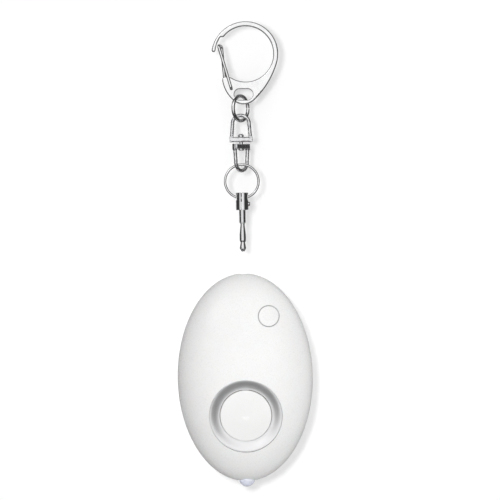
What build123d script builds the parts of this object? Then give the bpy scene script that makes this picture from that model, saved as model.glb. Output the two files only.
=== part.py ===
"""Personal safety alarm with its key chain, hanging from the snap hook, with the pull pin drawn out.

Millimetres. The origin is the seat inside the top of the snap hook's loop, straight above the chain.
+Z is up, +X is right and the front of the alarm faces -Y. Every chain piece hangs on the Z axis.
"""

import os
from math import atan2, cos, pi, radians, sin, sqrt

from build123d import *

# Clearances and cutting overrun, shared by all pieces
link_play = 0.2
yaw_play = 0.6
fit_gap = 0.1
shaft_gap = 0.04
seat_gap = 0.02
overrun = 5.0

# Snap hook
hook_loop_radius = 8.67
hook_loop_offset = 1.86
hook_band = 1.55
hook_thickness = 2.2
hook_round = 0.45
hook_nose_band = 1.2
hook_nose_flare = 0.45
hook_web_right = 4.4
hook_web_left = 2.3
hook_web_height = 1.3
hook_ear_reach = 5.55
hook_ear_drop = 16.8
hook_ear_width = 1.15
hook_ear_rise = 1.4
hook_eye_width = 5.8
hook_eye_height = 3.5
hook_eye_round = 1.7
hook_eye_offset = 1.03
hook_eye_bar = 1.3
hook_eye_floor = 22.9
hook_eye_edge = 0.3
hook_nose_join = 112.0
hook_back_join = -18.0
hook_step_angle = 141.0
hook_step_run = 4.5
hook_tip_angle = 172.0
hook_tip_bulge = 3.6
hook_ear_angle = -123.0
hook_corner = 0.35

# Wire gate of the hook
gate_wire_diameter = 0.95
gate_pivot_x = -2.78
gate_pivot_z = -19.27
gate_top_z = -5.65
gate_rear_step = 1.0
gate_rear_drop = 0.35
gate_bend = 0.75
gate_tail = 0.7
gate_kink_x = -4.75
gate_kink_z = -16.9

# Jump ring
jump_outer = 8.9
jump_wire = 1.1
jump_yaw = 54.0
jump_slit = 3.0

# Swivel: two like halves and a rivet
swivel_width = 7.0
swivel_wire = 1.1
swivel_length = 8.95
swivel_bar_height = 1.5
swivel_bar_depth = 2.0
swivel_foot = 0.08
swivel_foot_height = 2.0
swivel_foot_width = 1.25
swivel_gap = 0.5
swivel_yaw = 48.0
swivel_crown = 0.95
swivel_lean = 0.35
swivel_round_share = 0.3
swivel_foot_share = 0.2
rivet_shank = 1.1
rivet_head = 1.9
rivet_head_height = 0.9
rivet_dome_share = 0.75
rivet_peen_share = 0.6

# Split ring
split_outer = 11.2
split_wire = 0.74
split_pitch = 0.76
split_play = 0.95
split_turns = 1.95
split_start = 25.0

# Ferrule, crimp rivet and pull pin
ferrule_outer = 3.86
ferrule_wall = 0.45
ferrule_length = 5.4
ferrule_seam = 0.35
ferrule_ring_hole = 2.2
ferrule_ring_depth = 1.5
ferrule_lip = 0.4
ferrule_edge = 0.12
ferrule_seam_turn = 8.0
crimp_depth = 3.55
crimp_shank = 0.9
crimp_head = 1.4
crimp_head_height = 0.5
pin_diameter = 1.97
pin_reach = 13.0
pin_head_length = 2.1
pin_barrel = 3.9
pin_neck_diameter = 1.31
pin_neck_length = 0.9
pin_taper = 2.9
pin_swell = 1.85
pin_groove_diameter = 1.35
pin_groove_taper = 0.45
pin_bulb = 1.75
pin_tip_round = 0.9
pin_tip_share = 0.45
pin_shoulder_share = 0.86
pin_neck_share = 0.45
pin_head_radius = ferrule_outer / 2 - ferrule_wall - seat_gap
pin_drawn_gap = 6.85

# Housing: outer form, wall and parting seam
housing_width = 42.3
housing_height = 65.0
dome_depth = 11.4
back_trim = 0.8
shell_wall = 1.7
seam_gap = 0.08
lip_wall = 0.9
lip_height = 1.2

# Siren: ring, disc, sounder and the collar round them
siren_led_gap = 2.25
siren_outer = 22.8
siren_depth = 6.2
siren_collar_wall = 1.1
siren_ring_base = 3.4
siren_lip_depth = 1.15
siren_lip_width = 0.25
siren_crease_radius = 10.0
siren_crease_depth = 2.45
siren_hollow = 0.2
siren_inner_depth = 1.35
siren_slit = 0.15
siren_disc_diameter = 16.0
siren_disc_edge = 1.05
siren_disc_crown = 0.45
siren_disc_thickness = 0.9
siren_disc_round = 0.25
siren_stem_radius = 1.5
siren_hub_radius = 2.6
siren_arms = 3
siren_arm_width = 2.0
siren_arm_height = 0.8
gasket_height = 0.5
gasket_width = 1.3
piezo_radius = 11.0
piezo_thickness = 0.3
ceramic_radius = 7.5
ceramic_thickness = 0.25
chamber_floor = 0.7
piezo_wire_x = 3.4
piezo_wire_rise = 3.0

# Torch button, its guide and its switch
button_x = 7.65
button_drop = 13.4
button_diameter = 6.35
button_gap = 0.12
button_proud = 0.15
button_stop = 1.55
button_guide_wall = 0.9
button_flange = 0.7
button_flange_reach = 0.6
button_skirt = 0.7
switch_width = 3.4
switch_height = 1.6
switch_corner_share = 0.08
plunger_diameter = 1.8
plunger_height = 0.75
plunger_buried = 0.3
button_travel = 0.6

# Circuit board and what it carries
pcb_thickness = 1.0
pcb_back = 2.1
pcb_low_z = 10.2
pcb_drop = 8.7
pcb_margin = 0.6
board_post_radius = 1.1
board_post_x = 13.4
board_post_rise = 1.8
chip_x = -4.2
chip_drop = 4.8
chip_width = 3.9
chip_length = 4.9
chip_height = 1.5
chip_edge_share = 0.12
chip_legs = 4
chip_pitch = 1.27
chip_leg_length = 1.0
chip_leg_width = 0.42
coil_x = -9.2
coil_rise = 5.2
coil_diameter = 4.4
coil_height = 2.4
coil_flange_share = 0.18
coil_waist_share = 0.88
transistor_x = 0.6
transistor_rise = 3.8
transistor_width = 4.4
transistor_height = 3.2
transistor_depth = 1.5
transistor_leg = 1.1
transistor_leg_width = 0.5
resistor_left_x = -6.2
resistor_right_x = 8.4
resistor_step = 1.8
resistor_rise = 3.2
resistor_width = 0.85
resistor_length = 1.6
resistor_height = 0.5

# Pin socket and its spring leaves
socket_outer = 4.0
socket_length = 7.7
socket_recess = 1.4
socket_mouth = 2.6
socket_flange = 5.6
socket_flange_height = 0.9
socket_flange_drop = 2.3
socket_play = 0.065
cradle_radius = 3.5
cradle_short = 1.2
leaf_thickness = 0.22
leaf_width = 2.2
leaf_rise = 4.2
leaf_drop = 0.8
leaf_reach = 1.7
leaf_flare = 1.2
leaf_bend = 0.6

# Torch LED and its leads
led_proud = 1.75
led_diameter = 5.0
led_length = 8.6
led_collar = 5.8
led_collar_height = 1.0
led_cradle_radius = 3.9
led_lead = 0.5
led_lead_length = 2.4
led_lead_pitch = 2.54
led_wire_rise = 2.2

# Wires
wire_diameter = 0.8
wire_run = 1.6
wire_bend = 0.7
wire_x = 9.2
wire_y = 1.0

# Cells and the battery box
cell_count = 3
cell_diameter = 11.6
cell_height = 5.4
cell_step = 0.5
cell_back_gap = 0.25
cell_side_gap = 0.3
box_wall = 1.0
box_rim = -1.6
plate_thickness = 0.3
plate_width = 8.0
spring_height = 2.1
spring_wire = 0.4
spring_turns = 2.5
spring_wide = 3.6
spring_cone = 38.0

# Battery door and its screws
door_thickness = 1.4
door_ledge = 0.9
door_screw_zone = 4.6
door_corner = 2.2
door_plug = 0.45
door_post_radius = 2.1
door_post_drop = 7.0
door_screw_diameter = 1.6
door_screw_reach = 5.2
door_head_diameter = 2.8
door_head_height = 0.75
door_recess = 1.0

# Case screws
case_screw_x = 15.0
case_post_radius = 2.2
case_screw_diameter = 2.0
case_screw_bite = 4.6
case_head_diameter = 3.4
case_head_height = 1.2
case_seat = 4.6
screw_dome_share = 0.35
screw_slot_share = 0.17
screw_cross_share = 0.62
screw_depth_share = 0.5
screw_point_share = 0.3


def swept_wire(path, wire_diameter):
    """A round wire along a path."""
    section = Plane(origin=path @ 0, z_dir=path % 0) * Circle(wire_diameter / 2)
    return sweep(section, path=path)


def along_y(x, z, radius, low_y, high_y):
    """A round bar parallel to the Y axis, from low_y to high_y."""
    bar = Cylinder(radius, high_y - low_y, align=(Align.CENTER, Align.CENTER, Align.MIN))
    return Pos(x, low_y, z) * Rot(-90, 0, 0) * bar


def along_z(radius, low_z, high_z, x=0, y=0):
    """A round bar parallel to the Z axis, from low_z to high_z."""
    bar = Cylinder(radius, high_z - low_z, align=(Align.CENTER, Align.CENTER, Align.MIN))
    return Pos(x, y, low_z) * bar


def block(low_x, high_x, low_y, high_y, low_z, high_z):
    """A box between two corners."""
    box = Box(high_x - low_x, high_y - low_y, high_z - low_z)
    return Pos((low_x + high_x) / 2, (low_y + high_y) / 2, (low_z + high_z) / 2) * box


# Heights of the chain, worked down from the hook's seat
hook_centre_z = -sqrt(hook_loop_radius**2 - hook_loop_offset**2)
hook_outer_radius = hook_loop_radius + hook_band
jump_radius = (jump_outer - jump_wire) / 2
jump_z = -hook_eye_floor + link_play + yaw_play + jump_wire - jump_outer / 2
swivel_top_z = jump_z - jump_outer / 2 + jump_wire + yaw_play + swivel_wire
swivel_base_z = swivel_top_z - swivel_length
swivel_lower_z = swivel_base_z - swivel_gap
swivel_floor_z = swivel_lower_z - swivel_length + swivel_wire
split_radius = (split_outer - split_wire) / 2
split_z = swivel_floor_z + split_play + split_wire - split_outer / 2
split_rise = split_radius - sqrt(split_radius**2 - (ferrule_outer / 2) ** 2)
ring_hole_z = split_z - split_radius + split_rise / 2
ferrule_top_z = ring_hole_z + ferrule_ring_depth
ferrule_low_z = ferrule_top_z - ferrule_length
pin_tip_z = ferrule_low_z - pin_reach
gate_leg_y = (hook_thickness + gate_wire_diameter) / 2 + fit_gap


def hook_point(radius, angle):
    """A point about the centre of the hook's loop, in the plane of the hook."""
    turn = radians(angle)
    return (hook_loop_offset + radius * cos(turn), hook_centre_z + radius * sin(turn))


def snap_hook():
    """Cast hook: a round loop with a thinner nose, an ear for the gate and an eye at its foot."""
    nose_outer = hook_outer_radius + hook_nose_flare
    nose_inner = nose_outer - hook_nose_band
    foot_z = -hook_eye_floor - hook_eye_bar
    web_right = (hook_web_right, foot_z + hook_web_height)
    web_left = (-hook_web_left, foot_z + hook_web_height)
    ear_left = (-hook_ear_reach, -hook_ear_drop)
    ear_top = (hook_ear_width - hook_ear_reach, hook_ear_rise - hook_ear_drop)
    ear_inner = hook_point(hook_loop_radius, hook_ear_angle)
    crown = ThreePointArc(
        hook_point(hook_outer_radius, hook_nose_join),
        hook_point(hook_outer_radius, (hook_nose_join + hook_back_join) / 2),
        hook_point(hook_outer_radius, hook_back_join),
    )
    back = TangentArc(crown @ 1, web_right, tangent=crown % 1)
    foot = TangentArc(back @ 1, web_left, tangent=back % 1)
    side = TangentArc(foot @ 1, ear_left, tangent=foot % 1)
    ear = TangentArc(side @ 1, ear_top, tangent=side % 1)
    ear_slope = Line(ear @ 1, ear_inner)
    bore = ThreePointArc(
        ear_inner,
        hook_point(hook_loop_radius, (hook_ear_angle + hook_step_angle) / 2),
        hook_point(hook_loop_radius, hook_step_angle),
    )
    step = Line(bore @ 1, hook_point(nose_inner, hook_step_angle + hook_step_run))
    nose_in = ThreePointArc(
        step @ 1,
        hook_point(nose_inner, (hook_step_angle + hook_step_run + hook_tip_angle) / 2),
        hook_point(nose_inner, hook_tip_angle),
    )
    nose_out = TangentArc(crown @ 0, hook_point(nose_outer, hook_tip_angle), tangent=-(crown % 0))
    tip = ThreePointArc(
        nose_in @ 1,
        hook_point((nose_inner + nose_outer) / 2, hook_tip_angle + hook_tip_bulge),
        nose_out @ 1,
    )
    outline = [crown, back, foot, side, ear, ear_slope, bore, step, nose_in, tip, nose_out]
    plate = extrude(Plane.XZ * make_face(outline), hook_thickness / 2, both=True)
    plate = fillet(plate.edges().filter_by(Axis.Y), hook_corner)
    rims = plate.edges().filter_by(lambda edge: abs(edge.center().Y) > hook_thickness / 2 - seat_gap)
    plate = fillet(rims, hook_round)
    eye_z = hook_eye_height / 2 - hook_eye_floor
    eye_face = Pos(hook_eye_offset, eye_z) * RectangleRounded(hook_eye_width, hook_eye_height, hook_eye_round)
    eye = extrude(Plane.XZ * eye_face, hook_thickness, both=True)
    reach = hook_eye_width / 2 + seat_gap
    plate -= eye
    eye_rims = plate.edges().filter_by(
        lambda edge: abs(edge.center().Y) > hook_thickness / 2 - seat_gap
        and abs(edge.center().X - hook_eye_offset) < reach
        and abs(edge.center().Z - eye_z) < hook_eye_height / 2 + seat_gap
    )
    plate = fillet(eye_rims, hook_eye_edge)
    pivot_radius = gate_wire_diameter / 2 + shaft_gap
    return plate - along_y(gate_pivot_x, gate_pivot_z, pivot_radius, -hook_thickness, hook_thickness)


def gate_wire():
    """One wire bent in a long U, its ends turned into the hook's ear; the bend closes on the nose."""
    nose_inner = hook_outer_radius + hook_nose_flare - hook_nose_band
    rise = gate_top_z - hook_centre_z
    top_x = hook_loop_offset - sqrt(nose_inner**2 - rise**2) + gate_wire_diameter / 2 + fit_gap
    tail_y = hook_thickness / 2 - gate_tail
    path = FilletPolyline(
        (gate_pivot_x, -tail_y, gate_pivot_z),
        (gate_pivot_x, -gate_leg_y, gate_pivot_z),
        (top_x, -gate_leg_y, gate_top_z),
        (top_x + gate_rear_step, gate_leg_y, gate_top_z - gate_rear_drop),
        (gate_kink_x, gate_leg_y, gate_kink_z),
        (gate_pivot_x, gate_leg_y, gate_pivot_z),
        (gate_pivot_x, tail_y, gate_pivot_z),
        radius=gate_bend,
    )
    return swept_wire(path, gate_wire_diameter)


def jump_ring():
    """Round wire ring with a closed slit, through the hook's eye and the upper swivel loop."""
    section = Plane.XZ * (Pos(jump_radius, 0) * Circle(jump_wire / 2))
    ring = revolve(section, Axis.Z, 360 - jump_slit)
    return Pos(0, 0, jump_z) * Rot(0, 0, jump_yaw) * Rot(90, 0, 0) * ring


def swivel_half(bore_radius):
    """Wire loop flattened to a crossbar at its open side; the crossbar's face is at Z = 0."""
    half_width = (swivel_width - swivel_wire) / 2
    top_z = swivel_length - swivel_wire / 2
    shoulder_z = top_z - half_width * swivel_crown
    base_z = swivel_foot_height / 2
    leg = half_width
    path = (
        Line((leg, 0, base_z), (leg - swivel_lean, 0, shoulder_z))
        + ThreePointArc(
            (leg - swivel_lean, 0, shoulder_z), (0, 0, top_z), (swivel_lean - leg, 0, shoulder_z)
        )
        + Line((swivel_lean - leg, 0, shoulder_z), (-leg, 0, base_z))
    )
    loop = sweep(
        Plane(origin=path @ 0, z_dir=path % 0) * Circle(swivel_wire / 2),
        path=path,
        transition=Transition.ROUND,
    )
    half_depth = swivel_bar_depth / 2
    bar = block(-leg, leg, -half_depth, half_depth, swivel_foot, swivel_foot + swivel_bar_height)
    bar = fillet(bar.edges().filter_by(Axis.X), swivel_bar_height * swivel_round_share)
    body = loop + bar
    for side in (-1, 1):
        foot = block(
            side * leg - swivel_foot_width / 2,
            side * leg + swivel_foot_width / 2,
            -swivel_foot_width / 2,
            swivel_foot_width / 2,
            0,
            swivel_foot_height,
        )
        body += fillet(foot.edges(), swivel_foot_width * swivel_foot_share)
    return body - along_z(bore_radius, -overrun, swivel_bar_height + swivel_foot + fit_gap)


def swivel_upper():
    half = swivel_half(rivet_shank / 2 + shaft_gap)
    return Pos(0, 0, swivel_base_z) * half


def swivel_lower():
    half = swivel_half(rivet_shank / 2 + seat_gap)
    return Pos(0, 0, swivel_lower_z) * Rot(0, 0, swivel_yaw) * Rot(180, 0, 0) * half


def swivel_rivet():
    """Rivet through both crossbars, domed above and peened below."""
    bar_top = swivel_base_z + swivel_foot + swivel_bar_height
    bar_low = swivel_lower_z - swivel_foot - swivel_bar_height
    shank = along_z(rivet_shank / 2, bar_low - seat_gap, bar_top + fit_gap)
    head = along_z(rivet_head / 2, bar_top + fit_gap, bar_top + fit_gap + rivet_head_height)
    head = fillet(head.edges().sort_by(Axis.Z)[-1], rivet_head_height * rivet_dome_share)
    peen_height = rivet_head_height * rivet_peen_share
    peen = along_z(rivet_head / 2, bar_low - seat_gap - peen_height, bar_low - seat_gap)
    peen = fillet(peen.edges().sort_by(Axis.Z)[0], peen_height * rivet_dome_share)
    return shank + head + peen


def split_ring():
    """Two turns of spring wire side by side."""
    height = split_pitch * split_turns
    helix = Helix(split_pitch, height, split_radius)
    coil = Pos(0, 0, -height / 2) * swept_wire(helix, split_wire)
    return Pos(0, 0, split_z) * Rot(0, split_start, 0) * Rot(90, 0, 0) * coil


def pin_ferrule():
    """Rolled tube with an open seam in front and a cross hole for the split ring."""
    outer = ferrule_outer / 2
    tube = along_z(outer, ferrule_low_z, ferrule_top_z)
    tube = chamfer(tube.edges(), ferrule_edge)
    tube -= along_z(outer - ferrule_wall, ferrule_low_z + ferrule_lip, ferrule_top_z + overrun)
    tube -= along_z(pin_diameter / 2 + seat_gap, ferrule_low_z - overrun, ferrule_top_z)
    low = ferrule_low_z - overrun
    seam = block(-ferrule_seam / 2, ferrule_seam / 2, -ferrule_outer, 0, low, ferrule_top_z + overrun)
    tube -= Rot(0, 0, -ferrule_seam_turn) * seam
    hole = Cylinder(ferrule_ring_hole / 2, ferrule_outer + overrun)
    tube -= Pos(0, 0, ring_hole_z) * Rot(0, 90, 0) * hole
    crimp_z = ferrule_top_z - crimp_depth
    crimp = Cylinder(crimp_shank / 2 + seat_gap, ferrule_outer + overrun)
    return tube - Pos(0, 0, crimp_z) * Rot(0, 90, 0) * crimp


def crimp_rivet():
    """Rivet across the ferrule, domed on the right and flush on the left."""
    outer = ferrule_outer / 2
    crimp_z = ferrule_top_z - crimp_depth
    shank = Cylinder(crimp_shank / 2, ferrule_outer, align=(Align.CENTER, Align.CENTER, Align.MIN))
    head = Cylinder(crimp_head / 2, crimp_head_height, align=(Align.CENTER, Align.CENTER, Align.MIN))
    head = fillet(head.edges().sort_by(Axis.Z)[-1], crimp_head_height * rivet_dome_share)
    rivet = shank + Pos(0, 0, ferrule_outer + seat_gap) * head
    rivet += Pos(0, 0, ferrule_outer) * Cylinder(crimp_shank / 2, fit_gap)
    return Pos(-outer, 0, crimp_z) * Rot(0, 90, 0) * rivet


def pull_pin():
    """Turned pin: head in the ferrule, barrel, neck, swelling, groove and rounded tip."""
    radius = pin_diameter / 2
    head_low = ferrule_low_z + ferrule_lip + seat_gap
    head_top = head_low + pin_head_length
    barrel_low = ferrule_low_z - pin_barrel
    neck_low = barrel_low - pin_neck_length
    swell_top = neck_low - pin_taper
    swell_low = swell_top - pin_swell
    groove_z = swell_low - pin_groove_taper
    bulb_z = groove_z - pin_bulb
    profile = Polyline(
        (0, pin_tip_z),
        (radius * pin_tip_share, pin_tip_z),
        (radius, pin_tip_z + pin_tip_round),
        (radius, bulb_z),
        (pin_groove_diameter / 2, groove_z),
        (radius * pin_shoulder_share, groove_z),
        (radius, swell_low),
        (radius, swell_top),
        (pin_neck_diameter / 2, neck_low),
        (pin_neck_diameter / 2, barrel_low - pin_neck_length * pin_neck_share),
        (radius, barrel_low),
        (radius, head_low),
        (pin_head_radius, head_low),
        (pin_head_radius, head_top),
        (0, head_top),
        close=True,
    )
    pin = revolve(Plane.XZ * make_face(profile), Axis.Z)
    crimp_z = ferrule_top_z - crimp_depth
    return pin - Pos(0, 0, crimp_z) * Rot(0, 90, 0) * Cylinder(crimp_shank / 2 + seat_gap, ferrule_outer)


# Heights and depths of the housing, about its own centre
housing_z = pin_tip_z - pin_drawn_gap - housing_height / 2
half_width = housing_width / 2
half_height = housing_height / 2
inner_depth = dome_depth - shell_wall
back_flat = dome_depth - back_trim
inner_flat = back_flat - shell_wall
led_low_z = -half_height - led_proud
led_base_z = led_low_z + led_length
siren_z = led_base_z + siren_led_gap + siren_outer / 2
button_z = half_height - button_drop
socket_top_z = half_height - socket_recess
pcb_high_z = half_height - pcb_drop
board_post_z = pcb_low_z + board_post_rise
chip_z = pcb_high_z - chip_drop
coil_z = pcb_low_z + coil_rise
transistor_z = pcb_low_z + transistor_rise
resistor_z = pcb_low_z + resistor_rise
leaf_low_z = pcb_low_z + leaf_rise
leaf_high_z = socket_top_z - socket_length - leaf_drop
led_wire_end_z = pcb_low_z + led_wire_rise
door_post_rim = back_flat - door_post_drop
door_seat = back_flat - door_recess
door_screw_end = door_seat - door_screw_reach
pcb_front = -pcb_back - pcb_thickness
guide_end = button_stop - pcb_front
cell_stack = cell_count * (cell_height + seat_gap) - seat_gap
cell_y = inner_flat - cell_back_gap - cell_diameter / 2
box_low_z = -cell_stack / 2 - plate_thickness - fit_gap
box_high_z = cell_stack / 2 + spring_height + plate_thickness + fit_gap
box_half_width = cell_diameter / 2 + cell_side_gap
door_half_width = box_half_width + door_ledge
door_high_z = box_high_z + door_screw_zone
door_low_z = box_low_z - door_screw_zone
door_floor = back_flat - door_thickness
door_screw_places = [(box_low_z + door_low_z) / 2, (box_high_z + door_high_z) / 2]


def dome_y(x, z, depth=dome_depth, wall=0):
    """Depth of the dome at a place on the face, or of its inner side when a wall is given."""
    share = 1 - (x / (half_width - wall)) ** 2 - (z / (half_height - wall)) ** 2
    return (depth - wall) * sqrt(share)


def dome(grow=0):
    """Egg-shaped solid of the housing's outer form, grown or shrunk by a wall."""
    width = half_width + grow
    return scale(Sphere(width), by=(1, (dome_depth + grow) / width, (half_height + grow) / width))


def front_side():
    """Everything in front of the parting plane, less half the seam."""
    wide = housing_width
    return block(-wide, wide, -wide, -seam_gap / 2, -housing_height, housing_height)


def back_side(high_y):
    """Everything behind the parting plane, less half the seam, as far as the given depth."""
    return block(-housing_width, housing_width, seam_gap / 2, high_y, -housing_height, housing_height)


def siren_frame():
    """Plane across the siren's rim, leaning with the dome's lower half."""
    high = dome_y(0, siren_z + siren_outer / 2)
    low = dome_y(0, siren_z - siren_outer / 2)
    lean = atan2(high - low, siren_outer)
    return Plane(origin=(0, -(high + low) / 2, siren_z), x_dir=(1, 0, 0), z_dir=(0, -cos(lean), -sin(lean)))


def siren_bar(radius, low, high):
    """A round bar on the siren's axis, between two heights above the rim plane."""
    bar = Cylinder(radius, high - low, align=(Align.CENTER, Align.CENTER, Align.MIN))
    return siren_frame() * Pos(0, 0, low) * bar


def lip_ring(outer_wall, inner_wall, low_y, high_y):
    """Oval band between two offsets of the outline, from low_y to high_y."""
    band = Ellipse(half_width - outer_wall, half_height - outer_wall)
    band -= Ellipse(half_width - inner_wall, half_height - inner_wall)
    return Pos(0, high_y, 0) * extrude(Plane.XZ * band, high_y - low_y)


def socket_cradle():
    """Post round the pin socket and its flange, shared by both shells."""
    return along_z(cradle_radius, socket_top_z - socket_length + cradle_short, half_height)


def socket_space():
    """Space for the socket's sleeve and its flange."""
    flange_low = socket_top_z - socket_flange_drop - socket_flange_height
    space = along_z(socket_outer / 2 + seat_gap, 0, socket_top_z + seat_gap)
    space += along_z(socket_mouth / 2, 0, half_height + overrun)
    flange = along_z(
        socket_flange / 2 + fit_gap,
        flange_low - fit_gap,
        flange_low + socket_flange_height + fit_gap,
    )
    return space + flange


def led_cradle():
    """Post round the torch LED and its collar, shared by both shells."""
    return along_z(led_cradle_radius, -half_height, led_base_z - fit_gap)


def led_space():
    """Space for the torch LED and its collar."""
    body = along_z(led_diameter / 2 + fit_gap / 2, -half_height - overrun, led_base_z + overrun)
    collar = along_z(
        led_collar / 2 + fit_gap,
        led_base_z - led_collar_height - fit_gap,
        led_base_z + overrun,
    )
    return body + collar


def front_shell():
    """Front dome with its siren collar, button guide, screw posts and half cradles."""
    solid = dome() & front_side()
    body = solid - dome(-shell_wall)
    collar_radius = siren_outer / 2 + fit_gap / 2 + siren_collar_wall
    body += solid & siren_bar(collar_radius, -siren_depth, overrun)
    guide_radius = button_diameter / 2 + button_gap + button_guide_wall
    body += solid & along_y(button_x, button_z, guide_radius, -dome_depth, -guide_end)
    body += solid & socket_cradle()
    body += solid & led_cradle()
    for side in (-1, 1):
        body += solid & along_y(side * case_screw_x, 0, case_post_radius, -dome_depth, 0)
        high_y = pcb_front - seat_gap
        post = along_y(side * board_post_x, board_post_z, board_post_radius, -dome_depth, high_y)
        body += solid & post
    body -= lip_ring(lip_wall - fit_gap / 2, shell_wall + 2 * fit_gap, -lip_height - fit_gap, overrun)
    body -= siren_bar(siren_outer / 2 + fit_gap / 2, -siren_depth - overrun, overrun)
    body -= along_y(button_x, button_z, button_diameter / 2 + button_gap, -dome_depth - overrun, 0)
    body -= socket_space()
    body -= led_space()
    for side in (-1, 1):
        body -= along_y(side * case_screw_x, 0, case_screw_diameter / 2 + seat_gap, -case_screw_bite, overrun)
    return body


def back_shell():
    """Back dome cut flat in the middle, with the battery box, screw posts and half cradles."""
    solid = dome() & back_side(back_flat)
    body = solid - (dome(-shell_wall) & back_side(inner_flat))
    wall = box_wall
    outer_x = box_half_width + wall
    box = block(-outer_x, outer_x, box_rim, back_flat, box_low_z - wall, box_high_z + wall)
    box -= block(-box_half_width, box_half_width, box_rim - overrun, back_flat, box_low_z, box_high_z)
    body += dome() & box
    for place in door_screw_places:
        body += solid & along_y(0, place, door_post_radius, door_post_rim, back_flat)
    for side in (-1, 1):
        body += solid & along_y(side * case_screw_x, 0, case_post_radius, 0, dome_depth)
        post = along_y(side * board_post_x, board_post_z, board_post_radius, seat_gap - pcb_back, dome_depth)
        body += solid & post
    body += solid & socket_cradle()
    body += solid & led_cradle()
    body += lip_ring(lip_wall, shell_wall + fit_gap, -lip_height, seam_gap)
    body -= door_prism(fit_gap, door_floor - fit_gap / 2)
    body -= block(-box_half_width, box_half_width, 0, back_flat + overrun, box_low_z, box_high_z)
    body -= socket_space()
    body -= led_space()
    for place in door_screw_places:
        body -= along_y(0, place, door_screw_diameter / 2 + seat_gap, door_screw_end - fit_gap, back_flat)
    head_radius = case_head_diameter / 2 + fit_gap
    for side in (-1, 1):
        body -= along_y(side * case_screw_x, 0, case_screw_diameter / 2 + fit_gap, -overrun, dome_depth)
        body -= along_y(side * case_screw_x, 0, head_radius, case_seat, dome_depth + overrun)
    return body


def door_prism(grow, floor):
    """The battery door's outline carried outwards from a floor."""
    width = 2 * (door_half_width + grow)
    height = door_high_z - door_low_z + 2 * grow
    face = RectangleRounded(width, height, door_corner + grow)
    return Pos(0, floor, (door_high_z + door_low_z) / 2) * extrude(Plane.XZ * face, -overrun)


def battery_door():
    """Flush cover over the cells, with a raised back that fits the opening and two screw holes."""
    door = dome() & door_prism(0, door_floor) & back_side(back_flat)
    plug = block(
        fit_gap - box_half_width,
        box_half_width - fit_gap,
        door_floor - door_plug,
        door_floor + seat_gap,
        box_low_z + fit_gap,
        box_high_z - fit_gap,
    )
    door += plug
    top = back_flat + overrun
    for place in door_screw_places:
        door -= along_y(0, place, door_screw_diameter / 2 + fit_gap, door_floor - overrun, top)
        door -= along_y(0, place, door_head_diameter / 2 + fit_gap, door_seat, top)
    return door


def headed_screw(head_diameter, head_height, shank_diameter, length):
    """Pan head screw with a cross slot; its seat is at Z = 0 and its tip points down."""
    head = Cylinder(head_diameter / 2, head_height, align=(Align.CENTER, Align.CENTER, Align.MIN))
    head = fillet(head.edges().sort_by(Axis.Z)[-1], head_height * screw_dome_share)
    slot_width = head_diameter * screw_slot_share
    slot_length = head_diameter * screw_cross_share
    slot_depth = head_height * screw_depth_share
    for turn in (0, 90):
        slot = Box(slot_length, slot_width, slot_depth, align=(Align.CENTER, Align.CENTER, Align.MAX))
        head -= Rot(0, 0, turn) * Pos(0, 0, head_height) * slot
    shank = Cylinder(shank_diameter / 2, length, align=(Align.CENTER, Align.CENTER, Align.MAX))
    shank = chamfer(shank.edges().sort_by(Axis.Z)[0], shank_diameter * screw_point_share)
    return head + shank


def case_screws():
    length = case_seat + case_screw_bite - fit_gap
    screw = headed_screw(case_head_diameter, case_head_height, case_screw_diameter, length)
    return [Pos(side * case_screw_x, case_seat, 0) * Rot(-90, 0, 0) * screw for side in (-1, 1)]


def door_screws():
    length = door_screw_reach
    screw = headed_screw(door_head_diameter, door_head_height, door_screw_diameter, length)
    return [Pos(0, door_seat, place) * Rot(-90, 0, 0) * screw for place in door_screw_places]


def siren_ring():
    """Dished ring: steep outer wall, crease, rising inner slope, and a spider that carries the disc."""
    outer = siren_outer / 2
    inner = siren_disc_diameter / 2 + siren_slit
    dish_x = (outer + siren_crease_radius) / 2 - siren_hollow
    dish_z = -(siren_lip_depth + siren_crease_depth) / 2 - siren_hollow
    slope_z = -(siren_inner_depth + siren_crease_depth) / 2 + siren_hollow / 2
    points = (
        (outer, -siren_ring_base),
        (outer, -siren_lip_depth),
        (outer - siren_lip_width, -siren_lip_depth),
        (dish_x, dish_z),
        (siren_crease_radius, -siren_crease_depth),
        ((inner + siren_crease_radius) / 2, slope_z),
        (inner + siren_lip_width, -siren_inner_depth),
        (inner, -siren_inner_depth),
        (inner, -siren_ring_base),
    )
    wall = Polyline(points[-1], points[0], points[1], points[2])
    dish = Spline(points[2], points[3], points[4])
    slope = Spline(points[4], points[5], points[6])
    close = Polyline(points[6], points[7], points[8])
    ring = revolve(Plane.XZ * make_face([*wall.edges(), dish, slope, *close.edges()]), Axis.Z)
    arm_low = -siren_ring_base
    hub = Cylinder(siren_hub_radius, siren_arm_height, align=(Align.CENTER, Align.CENTER, Align.MIN))
    ring += Pos(0, 0, arm_low) * hub
    reach = inner + seat_gap
    for index in range(siren_arms):
        arm = Box(reach, siren_arm_width, siren_arm_height, align=(Align.MIN, Align.CENTER, Align.MIN))
        ring += Rot(0, 0, 90 + index * 360 / siren_arms) * Pos(0, 0, arm_low) * arm
    ring -= Pos(0, 0, arm_low) * Cylinder(siren_stem_radius + seat_gap, overrun)
    return siren_frame() * ring


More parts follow.
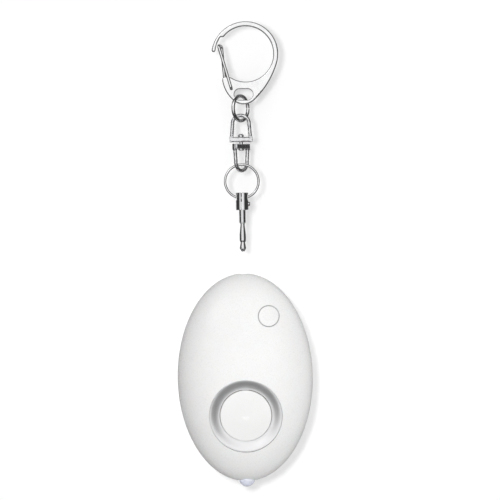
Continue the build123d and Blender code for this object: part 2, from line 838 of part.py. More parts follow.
def siren_disc():
    """White cap with a low crown and a stem that plugs into the ring's hub."""
    radius = siren_disc_diameter / 2
    edge_top = -siren_disc_edge
    half_span = radius - siren_disc_round
    crown_radius = (half_span**2 + siren_disc_crown**2) / (2 * siren_disc_crown)
    crown_drop = crown_radius - sqrt(crown_radius**2 - (half_span / 2) ** 2)
    crown = ThreePointArc(
        (half_span, edge_top),
        (half_span / 2, edge_top + siren_disc_crown - crown_drop),
        (0, edge_top + siren_disc_crown),
    )
    under = edge_top - siren_disc_thickness
    rim = ThreePointArc(
        (radius, edge_top - siren_disc_round),
        (radius - siren_disc_round * (1 - cos(pi / 4)), edge_top - siren_disc_round * (1 - cos(pi / 4))),
        (radius - siren_disc_round, edge_top),
    )
    outline = Polyline(
        (0, edge_top + siren_disc_crown),
        (0, -siren_ring_base),
        (siren_stem_radius, -siren_ring_base),
        (siren_stem_radius, under),
        (radius, under),
        (radius, edge_top - siren_disc_round),
    )
    return siren_frame() * revolve(Plane.XZ * make_face([*outline.edges(), rim, crown]), Axis.Z)


def siren_gasket():
    """Foam ring between the siren ring and the piezo plate."""
    top = -siren_ring_base - seat_gap
    ring = siren_bar(piezo_radius, top - gasket_height, top)
    return ring - siren_bar(piezo_radius - gasket_width, top - overrun, top + overrun)


def piezo_top():
    return -siren_ring_base - 2 * seat_gap - gasket_height


def piezo_plate():
    """Brass plate of the sounder."""
    return siren_bar(piezo_radius, piezo_top() - piezo_thickness, piezo_top())


def piezo_ceramic():
    """Silvered ceramic bonded to the back of the brass plate."""
    top = piezo_top() - piezo_thickness
    return siren_bar(ceramic_radius, top - ceramic_thickness, top)


def siren_chamber():
    """Cup that closes the collar behind the piezo plate."""
    top = piezo_top() - piezo_thickness - seat_gap
    cup = siren_bar(siren_outer / 2, -siren_depth, top)
    cup -= siren_bar(piezo_radius - gasket_width, chamber_floor - siren_depth, top + overrun)
    hole_radius = wire_diameter / 2 + fit_gap
    for side in (-1, 1):
        cup -= along_y(side * piezo_wire_x, siren_z + piezo_wire_rise, hole_radius, -dome_depth, 0)
    return cup


def torch_button():
    """Push button that follows the dome, with a skirt and a flange behind its guide."""
    radius = button_diameter / 2
    cap = along_y(button_x, button_z, radius, -dome_depth, -guide_end + button_flange + fit_gap)
    cap &= dome(button_proud)
    flange_y = fit_gap - guide_end
    cap += along_y(button_x, button_z, radius + button_flange_reach, flange_y, flange_y + button_flange)
    plunger_top = pcb_front - switch_height - plunger_height
    return cap - along_y(button_x, button_z, radius - button_skirt, plunger_top - seat_gap, 0)


def circuit_board():
    """Board in front of the cells, clamped between the shells' posts, with a hole for each LED wire."""
    side_share = sqrt(1 - (pcb_front / inner_depth) ** 2)
    wide = (half_width - shell_wall) * side_share - pcb_margin
    tall = (half_height - shell_wall) * side_share - pcb_margin
    face = Ellipse(wide, tall)
    face &= Pos(0, (pcb_low_z + pcb_high_z) / 2) * Rectangle(housing_width, pcb_high_z - pcb_low_z)
    board = Pos(0, -pcb_back, 0) * extrude(Plane.XZ * face, pcb_thickness)
    for side in (-1, 1):
        board -= along_y(side * wire_x, led_wire_end_z, wire_diameter / 2, pcb_front - overrun, overrun)
    return board


def on_board(x, z, width, height, depth):
    """A block standing on the front of the board, centred at x and z."""
    return block(x - width / 2, x + width / 2, pcb_front - depth, pcb_front, z - height / 2, z + height / 2)


def button_switch():
    body = on_board(button_x, button_z, switch_width, switch_width, switch_height)
    body = chamfer(body.edges().filter_by(Axis.Y), switch_width * switch_corner_share)
    bore_radius = plunger_diameter / 2 + shaft_gap
    floor = pcb_front - switch_height + plunger_buried + button_travel + fit_gap
    return body - along_y(button_x, button_z, bore_radius, pcb_front - overrun, floor)


def switch_plunger():
    return along_y(
        button_x,
        button_z,
        plunger_diameter / 2,
        pcb_front - switch_height - plunger_height,
        pcb_front - switch_height + plunger_buried,
    )


def driver_chip():
    """Chip with four gull legs on each long side."""
    chip = on_board(chip_x, chip_z, chip_width, chip_length, chip_height)
    chip = chamfer(chip.faces().sort_by(Axis.Y)[0].edges(), chip_height * chip_edge_share)
    for side in (-1, 1):
        for index in range(chip_legs):
            leg_z = chip_z + (index - (chip_legs - 1) / 2) * chip_pitch
            leg_x = chip_x + side * (chip_width + chip_leg_length) / 2
            chip += on_board(leg_x, leg_z, chip_leg_length + seat_gap, chip_leg_width, chip_height / 2)
    return chip


def boost_coil():
    """Wound step-up coil on a flanged core."""
    top = pcb_front - coil_height
    flange = coil_height * coil_flange_share
    core = along_y(coil_x, coil_z, coil_diameter / 2, pcb_front - flange, pcb_front)
    core += along_y(coil_x, coil_z, coil_diameter / 2, top, top + flange)
    return core + along_y(coil_x, coil_z, coil_diameter * coil_waist_share / 2, top, pcb_front)


def drive_transistor():
    """Three-legged drive transistor lying flat on the board."""
    body = on_board(transistor_x, transistor_z, transistor_width, transistor_height, transistor_depth)
    leg_low = transistor_z - transistor_height / 2 - transistor_leg / 2
    for index in (-1, 0, 1):
        body += on_board(
            transistor_x + index * transistor_width / 3,
            leg_low,
            transistor_leg_width,
            transistor_leg + seat_gap,
            transistor_depth / 3,
        )
    return body


def chip_resistors():
    """Two pairs of resistors along the board's lower edge."""
    starts = (resistor_left_x, resistor_right_x)
    places = [start + step for start in starts for step in (0, resistor_step)]
    return [on_board(x, resistor_z, resistor_width, resistor_length, resistor_height) for x in places]


def pin_socket():
    """Sleeve that guides the pull pin, with a flange trapped between the shells."""
    flange_low = socket_top_z - socket_flange_drop - socket_flange_height
    sleeve = along_z(socket_outer / 2, socket_top_z - socket_length, socket_top_z)
    sleeve += along_z(socket_flange / 2, flange_low, flange_low + socket_flange_height)
    sleeve -= along_z(pin_diameter / 2 + socket_play, 0, half_height + overrun)
    return sleeve


def contact_leaf(side):
    """Spring leaf beside the pin, its foot turned onto the back of the board."""
    gap = pin_diameter / 2 + socket_play + leaf_thickness / 2
    foot_x = gap + leaf_reach
    path = FilletPolyline(
        (foot_x, leaf_low_z),
        (gap, leaf_low_z + leaf_reach * 2),
        (gap, leaf_high_z - leaf_flare),
        (gap + leaf_flare / 2, leaf_high_z),
        radius=leaf_bend,
    )
    strip = extrude(Plane.XZ * trace(path, line_width=leaf_thickness), leaf_width / 2, both=True)
    foot = block(
        foot_x - leaf_width / 2,
        foot_x + leaf_width / 2,
        seat_gap - pcb_back,
        leaf_width / 2,
        leaf_low_z - leaf_width / 2,
        leaf_low_z + leaf_width / 4,
    )
    leaf = strip + foot
    return leaf if side > 0 else mirror(leaf, Plane.YZ)


def torch_led():
    """Clear LED: collar, body and domed lens that stands out of the lower end."""
    radius = led_diameter / 2
    body = along_z(radius, led_low_z + radius, led_base_z)
    body += along_z(led_collar / 2, led_base_z - led_collar_height, led_base_z)
    return body + Pos(0, 0, led_low_z + radius) * Sphere(radius)


def led_leads():
    low = led_base_z + seat_gap
    high = led_base_z + led_lead_length
    return [along_z(led_lead / 2, low, high, x=side * led_lead_pitch / 2) for side in (-1, 1)]


def led_wires():
    """Two insulated wires from the LED's leads, round the battery box, to the board."""
    wires = []
    start_z = led_base_z + led_lead_length + seat_gap
    for side in (-1, 1):
        path = FilletPolyline(
            (side * led_lead_pitch / 2, 0, start_z),
            (side * led_lead_pitch / 2, 0, start_z + wire_run),
            (side * wire_x, wire_y, box_low_z),
            (side * wire_x, wire_y, pcb_low_z - wire_run),
            (side * wire_x, -pcb_back - pcb_thickness / 2 + wire_run, led_wire_end_z),
            (side * wire_x, -pcb_back + seat_gap, led_wire_end_z),
            radius=wire_bend,
        )
        wires.append(swept_wire(path, wire_diameter))
    return wires


def piezo_wires():
    """Two insulated wires from the sounder up to the front of the board."""
    wires = []
    frame = siren_frame()
    back = frame.origin.Y + siren_depth * abs(frame.z_dir.Y)
    for side in (-1, 1):
        path = FilletPolyline(
            (side * piezo_wire_x, back - chamber_floor - fit_gap, siren_z + piezo_wire_rise),
            (side * piezo_wire_x, back + wire_diameter, siren_z + piezo_wire_rise),
            (side * piezo_wire_x, back + wire_diameter, pcb_low_z - wire_run),
            (side * piezo_wire_x, pcb_front - wire_diameter / 2 - seat_gap, pcb_low_z),
            (side * piezo_wire_x, pcb_front - wire_diameter / 2 - seat_gap, pcb_low_z + wire_run),
            radius=wire_bend / 2,
        )
        wires.append(swept_wire(path, wire_diameter))
    return wires


def button_cell(index):
    """One cell of the stack, stepped at its negative face."""
    low_z = -cell_stack / 2 + index * (cell_height + seat_gap)
    can = along_z(cell_diameter / 2, low_z, low_z + cell_height - cell_step, y=cell_y)
    can = fillet(can.edges(), cell_step / 2)
    cap = along_z(cell_diameter / 2 - cell_step * 2, low_z + cell_step, low_z + cell_height, y=cell_y)
    return can + cap


def battery_plate():
    """Flat contact under the stack."""
    high = -cell_stack / 2 - seat_gap
    half = plate_width / 2
    return block(-half, half, cell_y - half, cell_y + half, high - plate_thickness, high)


def battery_spring():
    """Conical spring contact on the stack, its wide end on the box wall."""
    pitch = spring_height / spring_turns
    helix = Helix(pitch, spring_height - spring_wire, spring_wide, cone_angle=-spring_cone)
    wide_z = box_high_z - fit_gap / 2 - spring_wire / 2
    return Pos(0, cell_y, wide_z) * Rot(180, 0, 0) * swept_wire(helix, spring_wire)


chain = {
    "snap_hook": snap_hook,
    "gate_wire": gate_wire,
    "jump_ring": jump_ring,
    "swivel_upper": swivel_upper,
    "swivel_lower": swivel_lower,
    "swivel_rivet": swivel_rivet,
    "split_ring": split_ring,
    "pin_ferrule": pin_ferrule,
    "crimp_rivet": crimp_rivet,
    "pull_pin": pull_pin,
}

housing = {
    "front_shell": front_shell,
    "back_shell": back_shell,
    "battery_door": battery_door,
    "case_screws": case_screws,
    "door_screws": door_screws,
    "siren_ring": siren_ring,
    "siren_disc": siren_disc,
    "siren_gasket": siren_gasket,
    "piezo_plate": piezo_plate,
    "piezo_ceramic": piezo_ceramic,
    "siren_chamber": siren_chamber,
    "torch_button": torch_button,
    "circuit_board": circuit_board,
    "button_switch": button_switch,
    "switch_plunger": switch_plunger,
    "driver_chip": driver_chip,
    "boost_coil": boost_coil,
    "drive_transistor": drive_transistor,
    "chip_resistors": chip_resistors,
    "pin_socket": pin_socket,
    "contact_right": lambda: contact_leaf(1),
    "contact_left": lambda: contact_leaf(-1),
    "torch_led": torch_led,
    "led_leads": led_leads,
    "led_wires": led_wires,
    "piezo_wires": piezo_wires,
    "battery_plate": battery_plate,
    "battery_spring": battery_spring,
    "button_cell_low": lambda: button_cell(0),
    "button_cell_middle": lambda: button_cell(1),
    "button_cell_high": lambda: button_cell(2),
}


def save(name, shape):
    """Writes one piece, or a group of like pieces, as the node of that name."""
    if isinstance(shape, list):
        shape = Compound(children=[solid for item in shape for solid in item.solids()])
    export_step(shape, f"parts/{name}.step")


os.makedirs("parts", exist_ok=True)
for name, make in chain.items():
    save(name, make())
for name, make in housing.items():
    piece = make()
    lift = Pos(0, 0, housing_z)
    save(name, [lift * item for item in piece] if isinstance(piece, list) else lift * piece)
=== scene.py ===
import math

import bmesh
import bpy
from mathutils import Matrix, Vector


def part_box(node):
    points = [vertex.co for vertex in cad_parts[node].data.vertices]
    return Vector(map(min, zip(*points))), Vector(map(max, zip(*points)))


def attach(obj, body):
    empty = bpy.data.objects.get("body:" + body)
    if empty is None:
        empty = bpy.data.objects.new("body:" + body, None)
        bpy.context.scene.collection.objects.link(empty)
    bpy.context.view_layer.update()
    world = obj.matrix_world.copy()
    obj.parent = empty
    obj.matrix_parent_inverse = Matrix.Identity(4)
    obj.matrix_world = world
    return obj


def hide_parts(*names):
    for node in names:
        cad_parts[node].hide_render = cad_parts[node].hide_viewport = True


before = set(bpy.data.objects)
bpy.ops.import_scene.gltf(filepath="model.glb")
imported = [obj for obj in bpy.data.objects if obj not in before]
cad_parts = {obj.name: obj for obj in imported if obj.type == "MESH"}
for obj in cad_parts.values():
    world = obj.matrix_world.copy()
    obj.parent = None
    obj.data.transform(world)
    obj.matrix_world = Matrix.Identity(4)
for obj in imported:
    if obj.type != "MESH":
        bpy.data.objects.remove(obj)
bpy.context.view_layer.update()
print("frame loaded:", len(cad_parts), "nodes")

millimetre = 0.001
white = (1.0, 1.0, 1.0, 1.0)
scene = bpy.context.scene
scene.view_settings.view_transform = "Standard"

# A colour mix node's sockets by number, because its names are shared with its other data types.
mixFirst, mixSecond, mixResult = 6, 7, 2


# Adds a shader node with its options and socket values set.
def addNode(tree, kind, values=(), **options):
    node = tree.nodes.new(kind)
    for key, value in options.items():
        setattr(node, key, value)
    for key, value in dict(values).items():
        node.inputs[key].default_value = value
    return node


# Adds a math node fed by sockets or plain values, and returns its result.
def calculate(tree, operation, *values, kind="ShaderNodeMath", result="Value"):
    node = addNode(tree, kind, operation=operation)
    for socket, value in zip(node.inputs, values):
        if isinstance(value, bpy.types.NodeSocket):
            tree.links.new(value, socket)
        else:
            socket.default_value = value
    return node.outputs[result]


def calculateVector(tree, operation, *values, result="Vector"):
    return calculate(tree, operation, *values, kind="ShaderNodeVectorMath", result=result)


# A noise field in object coordinates, in cycles per metre, stretched along chosen axes.
def noiseField(tree, scale, detail, stretch=(1.0, 1.0, 1.0)):
    coords = addNode(tree, "ShaderNodeTexCoord")
    mapping = addNode(tree, "ShaderNodeMapping", {"Scale": stretch})
    noise = addNode(tree, "ShaderNodeTexNoise", {"Scale": scale, "Detail": detail, "Roughness": 0.5})
    tree.links.new(coords.outputs["Object"], mapping.inputs["Vector"])
    tree.links.new(mapping.outputs["Vector"], noise.inputs["Vector"])
    return noise.outputs["Fac"]


# Maps a field to a range of values. A noise field lies mostly between 0.3 and 0.7.
def spread(tree, field, low, high, fromLow=0.3, fromHigh=0.7):
    values = {"From Min": fromLow, "From Max": fromHigh, "To Min": low, "To Max": high}
    node = addNode(tree, "ShaderNodeMapRange", values)
    tree.links.new(field, node.inputs["Value"])
    return node.outputs["Result"]


# Blends two plain colours by a noise field.
def blendColours(tree, field, first, second):
    mix = addNode(tree, "ShaderNodeMix", data_type="RGBA")
    mix.inputs[mixFirst].default_value = (*first, 1.0)
    mix.inputs[mixSecond].default_value = (*second, 1.0)
    tree.links.new(spread(tree, field, 0.0, 1.0), mix.inputs["Factor"])
    return mix.outputs[mixResult]


# Bumps the surface by a field, on top of an earlier bump where there is one.
def addBump(tree, field, strength, depth, under=None):
    bump = addNode(tree, "ShaderNodeBump", {"Strength": strength, "Distance": depth})
    tree.links.new(field, bump.inputs["Height"])
    if under:
        tree.links.new(under, bump.inputs["Normal"])
    return bump.outputs["Normal"]


# Paints shade into the colour near a circle about an axis parallel to Y: painted shade on the lip of a gap,
# where the gap's shadow falls.
def paintedGapShade(tree, colour, gap):
    coords = addNode(tree, "ShaderNodeTexCoord")
    offset = calculateVector(tree, "SUBTRACT", coords.outputs["Object"], gap["centre"])
    flat = calculateVector(tree, "MULTIPLY", offset, (1.0, 0.0, 1.0))
    radius = calculateVector(tree, "LENGTH", flat, result="Value")
    fade = spread(tree, radius, 0.0, gap["strength"], gap["from"], gap["to"])
    within = calculate(tree, "LESS_THAN", radius, max(gap["from"], gap["to"]))
    mix = addNode(tree, "ShaderNodeMix", data_type="RGBA")
    mix.inputs[mixSecond].default_value = (*gap["colour"], 1.0)
    tree.links.new(calculate(tree, "MULTIPLY", fade, within), mix.inputs["Factor"])
    tree.links.new(colour, mix.inputs[mixFirst])
    return mix.outputs[mixResult]


# What a surface has unless its own look says otherwise. Noise is in cycles per metre, depths are in metres.
plainLook = {
    "metallic": 0.0, "fixed": {}, "paintedGapShading": (), "shadeShare": 0.93, "grain": 2600.0, "broad": 170.0,
    "stretch": (1.0, 1.0, 1.0),
    "fineBump": 0.1, "fineDepth": 0.00001, "broadBump": 0.1, "broadDepth": 0.00004,
}


# One procedural surface: fine grain in its roughness and bump, broad variation in its colour and bump.
def makeSurface(name, ownLook):
    look = {**plainLook, **ownLook}
    material = bpy.data.materials.new(name)
    material.use_nodes = True
    tree = material.node_tree
    shader = tree.nodes["Principled BSDF"]
    for socket, value in look["fixed"].items():
        shader.inputs[socket].default_value = value
    shader.inputs["Metallic"].default_value = look["metallic"]
    grain = noiseField(tree, look["grain"], 3.0, look["stretch"])
    broad = noiseField(tree, look["broad"], 2.0)
    shade = look.get("shade", [level * look["shadeShare"] for level in look["colour"]])
    colour = blendColours(tree, broad, look["colour"], shade)
    # Painted shade at each listed gap, darkening the colour where the gap's shadow falls.
    for gap in look["paintedGapShading"]:
        colour = paintedGapShade(tree, colour, gap)
    tree.links.new(colour, shader.inputs["Base Color"])
    tree.links.new(spread(tree, grain, *look["roughness"]), shader.inputs["Roughness"])
    fine = addBump(tree, grain, look["fineBump"], look["fineDepth"])
    wave = addBump(tree, broad, look["broadBump"], look["broadDepth"], fine)
    tree.links.new(wave, shader.inputs["Normal"])
    return material


# Painted shade round the torch button's gap: the button's lip is painted darker outwards, the shell's lip
# inwards.
buttonLow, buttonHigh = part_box("torch_button")
buttonCentre = (Vector(buttonLow) + Vector(buttonHigh)) / 2
buttonRadius = 3.175 * millimetre
buttonGapShade = {"centre": buttonCentre, "colour": (0.22, 0.22, 0.23)}
buttonLipShade = {**buttonGapShade, "strength": 0.9, "from": buttonRadius - 0.14 * millimetre, "to": buttonRadius}
guideLipShade = {
    **buttonGapShade, "strength": 0.7,
    "from": buttonRadius + 0.32 * millimetre, "to": buttonRadius + 0.12 * millimetre,
}

whitePlastic = {
    "colour": (0.865, 0.865, 0.86), "shade": (0.84, 0.84, 0.835), "roughness": (0.24, 0.34),
    "grain": 3200.0, "fineBump": 0.05, "broadDepth": 0.00005, "fixed": {"IOR": 1.52},
}
softWhite = {"IOR": 1.52, "Subsurface Weight": 0.06, "Subsurface Scale": 0.0012}
shellWhite = {**whitePlastic, "broad": 90.0, "broadBump": 0.12, "fixed": softWhite}

surfaceLooks = {
    "nickelPlate": {
        "colour": (0.95, 0.95, 0.955), "shade": (0.87, 0.87, 0.88), "metallic": 1.0,
        "roughness": (0.12, 0.24), "grain": 1800.0, "broad": 420.0, "fineBump": 0.04, "broadBump": 0.3,
    },
    "tumbledPlate": {
        "colour": (0.94, 0.94, 0.95), "shade": (0.74, 0.74, 0.76), "metallic": 1.0, "roughness": (0.2, 0.36),
        "grain": 1500.0, "broad": 900.0, "broadBump": 1.0, "broadDepth": 0.00025,
    },
    "springWire": {
        "colour": (0.95, 0.95, 0.955), "shade": (0.84, 0.84, 0.85), "metallic": 1.0,
        "roughness": (0.12, 0.26), "grain": 2400.0, "broad": 520.0,
        "fineBump": 0.04, "broadBump": 0.25, "broadDepth": 0.00003,
    },
    "chromedTube": {
        "colour": (0.86, 0.86, 0.87), "shade": (0.72, 0.72, 0.74), "metallic": 1.0, "roughness": (0.06, 0.16),
        "grain": 1500.0, "broad": 380.0, "broadBump": 0.3, "broadDepth": 0.00005,
    },
    "turnedPin": {
        "colour": (0.82, 0.82, 0.82), "shade": (0.72, 0.72, 0.73), "metallic": 1.0, "roughness": (0.12, 0.28),
        "grain": 900.0, "broad": 300.0, "stretch": (1.0, 1.0, 9.0), "fineBump": 0.25,
    },
    "whiteAbs": shellWhite,
    # The front shell and the button get painted shade round the button's gap.
    "whiteFront": {**shellWhite, "paintedGapShading": (guideLipShade,)},
    "whiteDisc": {**whitePlastic, "broad": 140.0, "roughness": (0.26, 0.36)},
    "whiteButton": {**whitePlastic, "broad": 300.0, "roughness": (0.22, 0.33), "paintedGapShading": (buttonLipShade,)},
    "silverRing": {
        "colour": (0.90, 0.90, 0.91), "shade": (0.85, 0.85, 0.86), "metallic": 0.76, "roughness": (0.3, 0.38),
        "grain": 4200.0, "broad": 260.0, "fineBump": 0.15,
    },
    "zincScrew": {
        "colour": (0.70, 0.70, 0.71), "shade": (0.58, 0.58, 0.60), "metallic": 1.0, "roughness": (0.24, 0.40),
        "grain": 2000.0, "broad": 600.0,
    },
    "blackFoam": {
        "colour": (0.05, 0.05, 0.05), "roughness": (0.8, 0.95),
        "grain": 3600.0, "fineBump": 0.8, "fineDepth": 0.00005,
    },
    "blackPlastic": {"colour": (0.035, 0.035, 0.038), "roughness": (0.38, 0.55), "grain": 3000.0},
    "brassPlate": {
        "colour": (0.78, 0.60, 0.30), "shade": (0.66, 0.48, 0.24), "metallic": 1.0, "roughness": (0.2, 0.38),
        "grain": 1600.0,
    },
    "soundPlate": {
        "colour": (0.56, 0.50, 0.40), "shade": (0.46, 0.41, 0.33), "metallic": 1.0, "roughness": (0.3, 0.45),
        "grain": 1600.0,
    },
    "silveredCeramic": {
        "colour": (0.78, 0.77, 0.75), "shade": (0.68, 0.67, 0.64), "roughness": (0.45, 0.65), "grain": 2200.0,
    },
    "greenBoard": {
        "colour": (0.05, 0.24, 0.10), "shade": (0.03, 0.16, 0.07), "roughness": (0.28, 0.42), "grain": 1800.0,
        "fixed": {"IOR": 1.5},
    },
    "copperCoil": {
        "colour": (0.62, 0.30, 0.16), "shade": (0.42, 0.18, 0.10), "metallic": 0.9, "roughness": (0.25, 0.4),
        "grain": 900.0, "stretch": (1.0, 10.0, 1.0), "fineBump": 0.8, "fineDepth": 0.00008,
    },
    "tinnedWire": {
        "colour": (0.74, 0.74, 0.74), "shade": (0.6, 0.6, 0.6), "metallic": 1.0, "roughness": (0.22, 0.36),
        "grain": 2100.0,
    },
    "redWire": {
        "colour": (0.55, 0.03, 0.03), "shade": (0.42, 0.02, 0.02), "roughness": (0.32, 0.45), "grain": 1900.0,
    },
    "cellSteel": {
        "colour": (0.76, 0.76, 0.77), "shade": (0.66, 0.66, 0.68), "metallic": 1.0, "roughness": (0.16, 0.3),
        "grain": 1700.0, "stretch": (1.0, 1.0, 6.0),
    },
}

nodeSurfaces = {
    "nickelPlate": ("snap_hook", "jump_ring", "contact_left", "contact_right"),
    "tumbledPlate": ("swivel_upper", "swivel_lower", "swivel_rivet"),
    "springWire": ("gate_wire", "split_ring"),
    "chromedTube": ("pin_ferrule", "crimp_rivet"),
    "turnedPin": ("pull_pin",),
    "whiteAbs": ("back_shell", "battery_door"),
    "whiteFront": ("front_shell",),
    "whiteDisc": ("siren_disc",),
    "whiteButton": ("torch_button",),
    "silverRing": ("siren_ring",),
    "zincScrew": ("case_screws", "door_screws"),
    "blackFoam": ("siren_gasket",),
    "blackPlastic": (
        "siren_chamber", "button_switch", "switch_plunger",
        "driver_chip", "drive_transistor", "chip_resistors",
    ),
    "brassPlate": ("pin_socket",),
    "soundPlate": ("piezo_plate",),
    "silveredCeramic": ("piezo_ceramic",),
    "greenBoard": ("circuit_board",),
    "copperCoil": ("boost_coil",),
    "tinnedWire": ("led_leads", "battery_plate", "battery_spring"),
    "redWire": ("led_wires", "piezo_wires"),
    "cellSteel": ("button_cell_low", "button_cell_middle", "button_cell_high"),
}


# Gives a CAD part its material.
def dress(nodeName, material):
    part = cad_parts[nodeName]
    part.data.materials.clear()
    part.data.materials.append(material)


for surfaceName, nodeNames in nodeSurfaces.items():
    surface = makeSurface(surfaceName, surfaceLooks[surfaceName])
    for nodeName in nodeNames:
        dress(nodeName, surface)
print("surfaces assigned")

# LED: clear epoxy with a faint violet cast and slight flow marks.
epoxyLook = {
    "colour": (0.93, 0.94, 1.0), "shade": (0.84, 0.87, 1.0), "roughness": (0.03, 0.08), "flow": 500.0,
    "bump": 0.15, "depth": 0.00003, "fixed": {"IOR": 1.5, "Transmission Weight": 0.45},
}


def clearEpoxy(look):
    material = bpy.data.materials.new("clearEpoxy")
    material.use_nodes = True
    tree = material.node_tree
    shader = tree.nodes["Principled BSDF"]
    for socket, value in look["fixed"].items():
        shader.inputs[socket].default_value = value
    flow = noiseField(tree, look["flow"], 2.0)
    tree.links.new(blendColours(tree, flow, look["colour"], look["shade"]), shader.inputs["Base Color"])
    tree.links.new(spread(tree, flow, *look["roughness"]), shader.inputs["Roughness"])
    tree.links.new(addBump(tree, flow, look["bump"], look["depth"]), shader.inputs["Normal"])
    return material


dress("torch_led", clearEpoxy(epoxyLook))
print("LED dressed")

# Siren ring: a satin dish that falls from its lip to a level floor round the disc, with three arms to a hub.
# Lengths are in millimetres, and heights are above the plane across the siren's rim.
ringLook = {
    "centre": (0.0, -9.65468, -121.60543), "axis": (0.0, -0.988508, -0.15117),
    "outer": 11.4, "lip": 11.27, "inner": 8.15, "base": -3.4, "edge": -1.25, "lipTop": -1.1, "drop": 0.94,
    "steps": 20, "turns": 192, "hub": (1.52, 2.6), "hubTop": -2.6, "hubTurns": 64,
    "arms": 3, "armWidth": 2.0, "armReach": 8.3, "creaseAngle": 40.0,
}


# Adds a closed profile of radius and height points to the mesh, turned about the Z axis.
def turnProfile(mesh, profile, turns):
    rings = []
    for step in range(turns):
        angle = math.tau * step / turns
        rings.append([mesh.verts.new((r * math.cos(angle), r * math.sin(angle), h)) for r, h in profile])
    for step in range(turns):
        here, there = rings[step], rings[(step + 1) % turns]
        for k in range(len(profile)):
            j = (k + 1) % len(profile)
            mesh.faces.new((here[k], here[j], there[j], there[k]))


# The dish's section: straight foot and wall, then a fall that eases in from the lip and out at the floor.
def dishProfile(look):
    profile = [(look["inner"], look["base"]), (look["outer"], look["base"]), (look["outer"], look["edge"]),
               (look["lip"], look["lipTop"])]
    for step in range(1, look["steps"] + 1):
        t = step / look["steps"]
        radius = look["lip"] + (look["inner"] - look["lip"]) * t
        profile.append((radius, look["lipTop"] - look["drop"] * t * t * (3 - 2 * t)))
    return profile


def makeSirenRing(look):
    mesh = bmesh.new()
    turnProfile(mesh, dishProfile(look), look["turns"])
    low, high = look["hub"]
    base, top = look["base"], look["hubTop"]
    turnProfile(mesh, [(low, base), (high, base), (high, top), (low, top)], look["hubTurns"])
    length = look["armReach"] - high
    for arm in range(look["arms"]):
        made = bmesh.ops.create_cube(mesh, size=1.0)["verts"]
        bmesh.ops.scale(mesh, vec=(length, look["armWidth"], top - base), verts=made)
        bmesh.ops.translate(mesh, vec=(high + length / 2, 0.0, (top + base) / 2), verts=made)
        turn = Matrix.Rotation(math.tau * arm / look["arms"] + math.pi / 2, 3, "Z")
        bmesh.ops.rotate(mesh, cent=(0.0, 0.0, 0.0), matrix=turn, verts=made)
    bmesh.ops.recalc_face_normals(mesh, faces=mesh.faces)
    up = Vector(look["axis"]).normalized()
    across = Vector((1.0, 0.0, 0.0))
    seat = Matrix((across, up.cross(across), up)).transposed().to_4x4()
    seat.translation = Vector(look["centre"])
    mesh.transform(Matrix.Scale(millimetre, 4) @ seat)
    data = bpy.data.meshes.new("siren_ring_dished")
    mesh.to_mesh(data)
    mesh.free()
    data.shade_smooth()
    data.set_sharp_from_angle(angle=math.radians(look["creaseAngle"]))
    ring = bpy.data.objects.new("siren_ring_dished", data)
    scene.collection.objects.link(ring)
    data.materials.append(bpy.data.materials["silverRing"])
    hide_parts("siren_ring")
    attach(ring, "housing")


makeSirenRing(ringLook)
print("siren ring made")

# Floor: the alarm lies on it in the photo, so it stands upright behind the hanging object.
floorLook = {
    "backY": 11.6 * millimetre, "halfSize": 0.6, "lowZ": -0.7, "highZ": 0.6, "glow": 0.13, "albedo": 0.84,
    "clearDepth": 0.12, "clearSamples": 8, "clearShare": (0.93, 0.998),
    "mirrored": (0.35, 0.05), "mirroredEdge": (8 * millimetre, 14 * millimetre),
}


# Mixes two shaders by a factor, all given as sockets.
def mixShaders(tree, factor, first, second):
    node = addNode(tree, "ShaderNodeMixShader")
    for socket, source in zip(node.inputs, (factor, first, second)):
        tree.links.new(source, socket)
    return node.outputs["Shader"]


# 1 for rays from the camera and for those that went through the LED, 0 for others.
def directRays(tree):
    rays = addNode(tree, "ShaderNodeLightPath").outputs
    return calculate(tree, "MAXIMUM", rays["Is Camera Ray"], rays["Is Transmission Ray"])


# Pale, with the object's shadow. In mirror reflections it darkens away from the object's middle.
# It is clear from behind, and in front of a piece that has swung through it.
def floorMaterial(look):
    material = bpy.data.materials.new("paleFloor")
    material.use_nodes = True
    tree = material.node_tree
    tree.nodes.clear()
    output = addNode(tree, "ShaderNodeOutputMaterial")
    pale = look["albedo"]
    diffuse = addNode(tree, "ShaderNodeBsdfDiffuse", {"Color": (pale, pale, pale, 1.0)}).outputs["BSDF"]
    glow = addNode(tree, "ShaderNodeEmission", {"Color": white, "Strength": look["glow"]})
    lit = addNode(tree, "ShaderNodeAddShader")
    tree.links.new(diffuse, lit.inputs[0])
    tree.links.new(glow.outputs["Emission"], lit.inputs[1])

    place = addNode(tree, "ShaderNodeSeparateXYZ")
    tree.links.new(addNode(tree, "ShaderNodeTexCoord").outputs["Object"], place.inputs["Vector"])
    aside = calculate(tree, "ABSOLUTE", place.outputs["X"])
    mirrored = addNode(tree, "ShaderNodeBsdfDiffuse")
    tree.links.new(spread(tree, aside, *look["mirrored"], *look["mirroredEdge"]), mirrored.inputs["Color"])
    glossy = addNode(tree, "ShaderNodeLightPath").outputs["Is Glossy Ray"]
    reflected = mixShaders(tree, glossy, diffuse, mirrored.outputs["BSDF"])

    clear = addNode(tree, "ShaderNodeBsdfTransparent").outputs["BSDF"]
    around = addNode(tree, "ShaderNodeAmbientOcclusion", {"Distance": look["clearDepth"]},
                     inside=True, samples=look["clearSamples"])
    covered = spread(tree, around.outputs["AO"], 1.0, 0.0, *look["clearShare"])
    opened = mixShaders(tree, covered, lit.outputs["Shader"], clear)
    seen = mixShaders(tree, directRays(tree), reflected, opened)
    backfacing = addNode(tree, "ShaderNodeNewGeometry").outputs["Backfacing"]
    tree.links.new(mixShaders(tree, backfacing, seen, clear), output.inputs["Surface"])
    return material


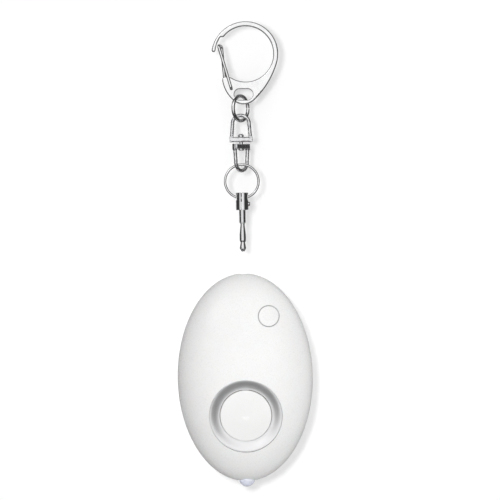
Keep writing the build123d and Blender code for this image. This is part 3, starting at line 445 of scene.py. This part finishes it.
# The floor sheet faces the camera. It casts no shadow, so that light from behind reaches the back.
def makeFloor(look):
    half, y, low, high = look["halfSize"], look["backY"], look["lowZ"], look["highZ"]
    corners = [(-half, y, low), (half, y, low), (half, y, high), (-half, y, high)]
    mesh = bpy.data.meshes.new("floorSheet")
    mesh.from_pydata(corners, [], [(0, 1, 2, 3)])
    sheet = bpy.data.objects.new("floorSheet", mesh)
    scene.collection.objects.link(sheet)
    sheet.data.materials.append(floorMaterial(look))
    sheet.visible_shadow = False


makeFloor(floorLook)
print("floor placed")

# Studio: a dark room with wide soft domes in front and behind, a lamp on the left for the shadow, a soft fill
# without one, a lamp behind for the back, and one that shows in reflections only.
lightLook = {
    "domeAxis": (-0.12, -1.0, 0.24), "domeEdge": (0.52, 0.92), "dark": 0.045, "bright": 1.02,
    "aim": (0.0, 0.0, -0.07),
}
lampLooks = {
    "shadowLamp": {
        "place": (-0.12, -0.82, 0.0), "size": 0.13, "power": 2.4, "shadow": True, "reflected": False,
    },
    "fillLamp": {
        "place": (0.62, -0.86, -0.10), "size": 0.55, "power": 3.8, "shadow": False, "reflected": False,
    },
    "backLamp": {
        "place": (0.0, 1.0, -0.07), "size": 0.6, "power": 2.8, "shadow": True, "reflected": False,
    },
    "shineLamp": {
        "place": (-0.52, -0.62, 0.46), "size": 0.4, "power": 0.6, "shadow": True, "reflected": True,
    },
}


# The world: the room and its domes for the object's light and reflections, white where it is seen directly.
def makeWorld(look):
    world = bpy.data.worlds.new("studioDomes")
    world.use_nodes = True
    tree = world.node_tree
    background = tree.nodes["Background"]
    coords = addNode(tree, "ShaderNodeTexCoord")
    axis = Vector(look["domeAxis"]).normalized()
    facing = calculateVector(tree, "DOT_PRODUCT", coords.outputs["Generated"], axis, result="Value")
    level = spread(tree, calculate(tree, "ABSOLUTE", facing), look["dark"], look["bright"], *look["domeEdge"])
    level.node.interpolation_type = "SMOOTHSTEP"
    shown = addNode(tree, "ShaderNodeMix", {"B": 1.0}, data_type="FLOAT")
    tree.links.new(directRays(tree), shown.inputs["Factor"])
    tree.links.new(level, shown.inputs["A"])
    tree.links.new(shown.outputs["Result"], background.inputs["Strength"])
    background.inputs["Color"].default_value = white
    scene.world = world


# A round lamp aimed at the middle of the object. It shows in reflections only, or not in them at all.
def roundLamp(name, look):
    data = bpy.data.lights.new(name, "AREA")
    data.shape = "DISK"
    data.size = look["size"]
    data.energy = look["power"]
    data.use_shadow = look["shadow"]
    lamp = bpy.data.objects.new(name, data)
    scene.collection.objects.link(lamp)
    lamp.location = look["place"]
    lamp.rotation_mode = "QUATERNION"
    lamp.rotation_quaternion = (Vector(lightLook["aim"]) - lamp.location).to_track_quat("-Z", "Y")
    lamp.visible_glossy = look["reflected"]
    lamp.visible_diffuse = not look["reflected"]


makeWorld(lightLook)
for lampName, lampLook in lampLooks.items():
    roundLamp(lampName, lampLook)
print("lights placed")

# Camera: square on to the front with a long lens, rolled so the object leans one degree to the left.
cameraLook = {
    "centreX": 2.19 * millimetre, "centreZ": -69.83 * millimetre, "viewHeight": 156.5 * millimetre,
    "distance": 1.5, "roll": math.radians(1.0), "sensor": 36.0, "clip": (0.05, 10.0),
}
cameraData = bpy.data.cameras.new("photoCamera")
cameraData.sensor_width = cameraLook["sensor"]
cameraData.lens = cameraLook["sensor"] * cameraLook["distance"] / cameraLook["viewHeight"]
cameraData.clip_start, cameraData.clip_end = cameraLook["clip"]
photoCamera = bpy.data.objects.new("photoCamera", cameraData)
scene.collection.objects.link(photoCamera)
rollCos, rollSin = math.cos(cameraLook["roll"]), math.sin(cameraLook["roll"])
photoCamera.matrix_world = Matrix((
    (rollCos, rollSin, 0.0, cameraLook["centreX"]),
    (0.0, 0.0, -1.0, -cameraLook["distance"]),
    (-rollSin, rollCos, 0.0, cameraLook["centreZ"]),
    (0.0, 0.0, 0.0, 1.0),
))
scene.camera = photoCamera
print("camera placed")
